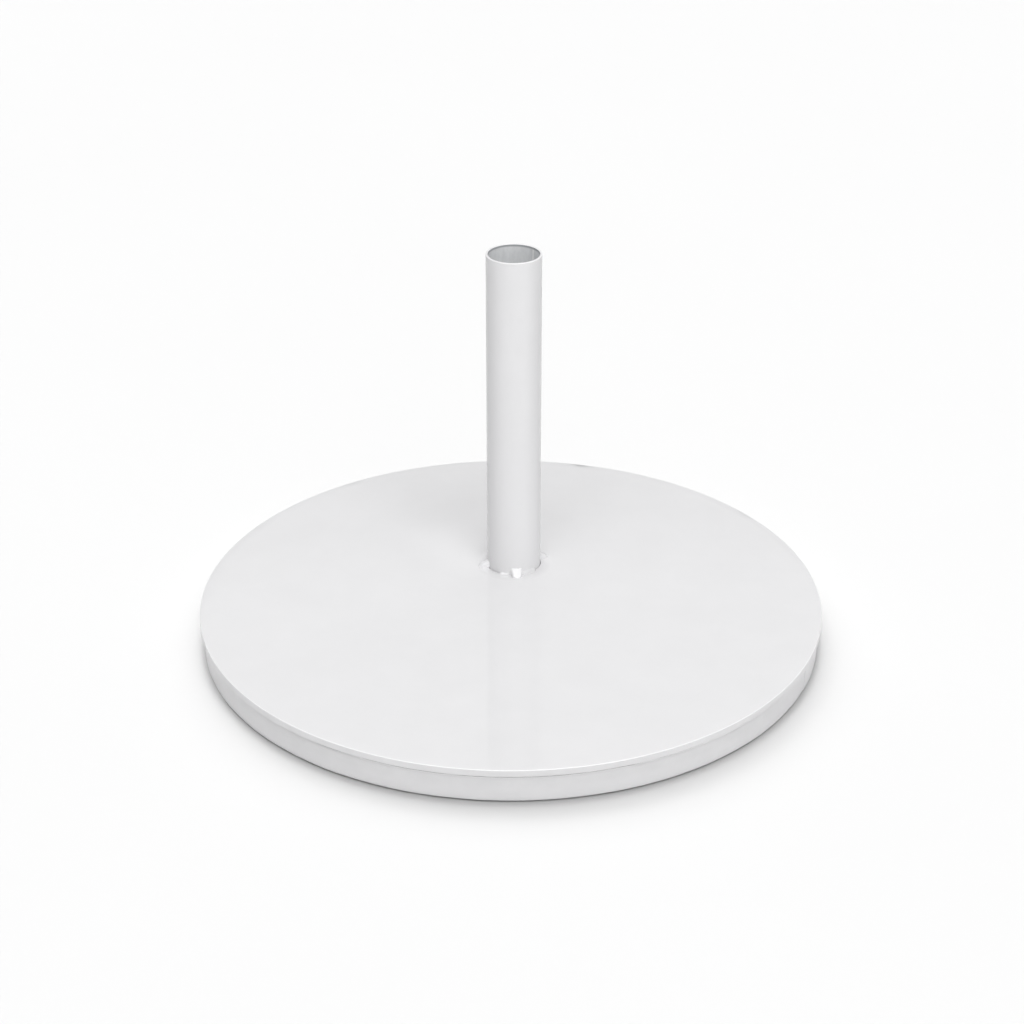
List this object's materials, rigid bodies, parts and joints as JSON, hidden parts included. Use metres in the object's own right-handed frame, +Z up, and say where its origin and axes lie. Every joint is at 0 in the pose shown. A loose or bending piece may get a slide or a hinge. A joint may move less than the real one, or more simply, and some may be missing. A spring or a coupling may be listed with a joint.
{
  "type": "parasol base",
  "caption": "Round white parasol base: a steel plate on a flat-bar rim, with an open upright socket tube welded in behind its centre and concrete ballast underneath.",
  "frame": {"origin": "on the ground under the plate's centre, at the underside of the rubber feet", "axes": "+Z up along the socket tube; the tube stands 70 mm behind the plate's centre, along +Y, so -Y is the front; +X is to the right seen from the front"},
  "size_m": [0.6, 0.6, 0.362],
  "materials": {
    "white_coat": "smooth white powder coat, satin",
    "zinc_plate": "zinc plated",
    "galvanised_sheet": "hot-dip galvanised, spangled",
    "weld_metal": "bare weld bead, uncoated",
    "concrete": "cast grey concrete",
    "black_rubber": "matt moulded rubber"
  },
  "bodies": {
    "root": {"top_plate": "white_coat", "rim_band": "white_coat", "rim_butt_weld": "white_coat", "rim_stitch_welds": "weld_metal", "socket_tube": "white_coat", "tube_tack_welds": "white_coat", "tube_foot_beads": "white_coat", "tube_root_weld": "weld_metal", "pole_stop": "zinc_plate", "pole_stop_weld": "weld_metal", "concrete_ballast": "concrete", "threaded_standoffs": "zinc_plate", "standoff_welds": "weld_metal", "bottom_cover": "galvanised_sheet", "rubber_feet": "black_rubber", "foot_washers": "zinc_plate", "foot_screws": "zinc_plate"}
  },
  "joints": []
}
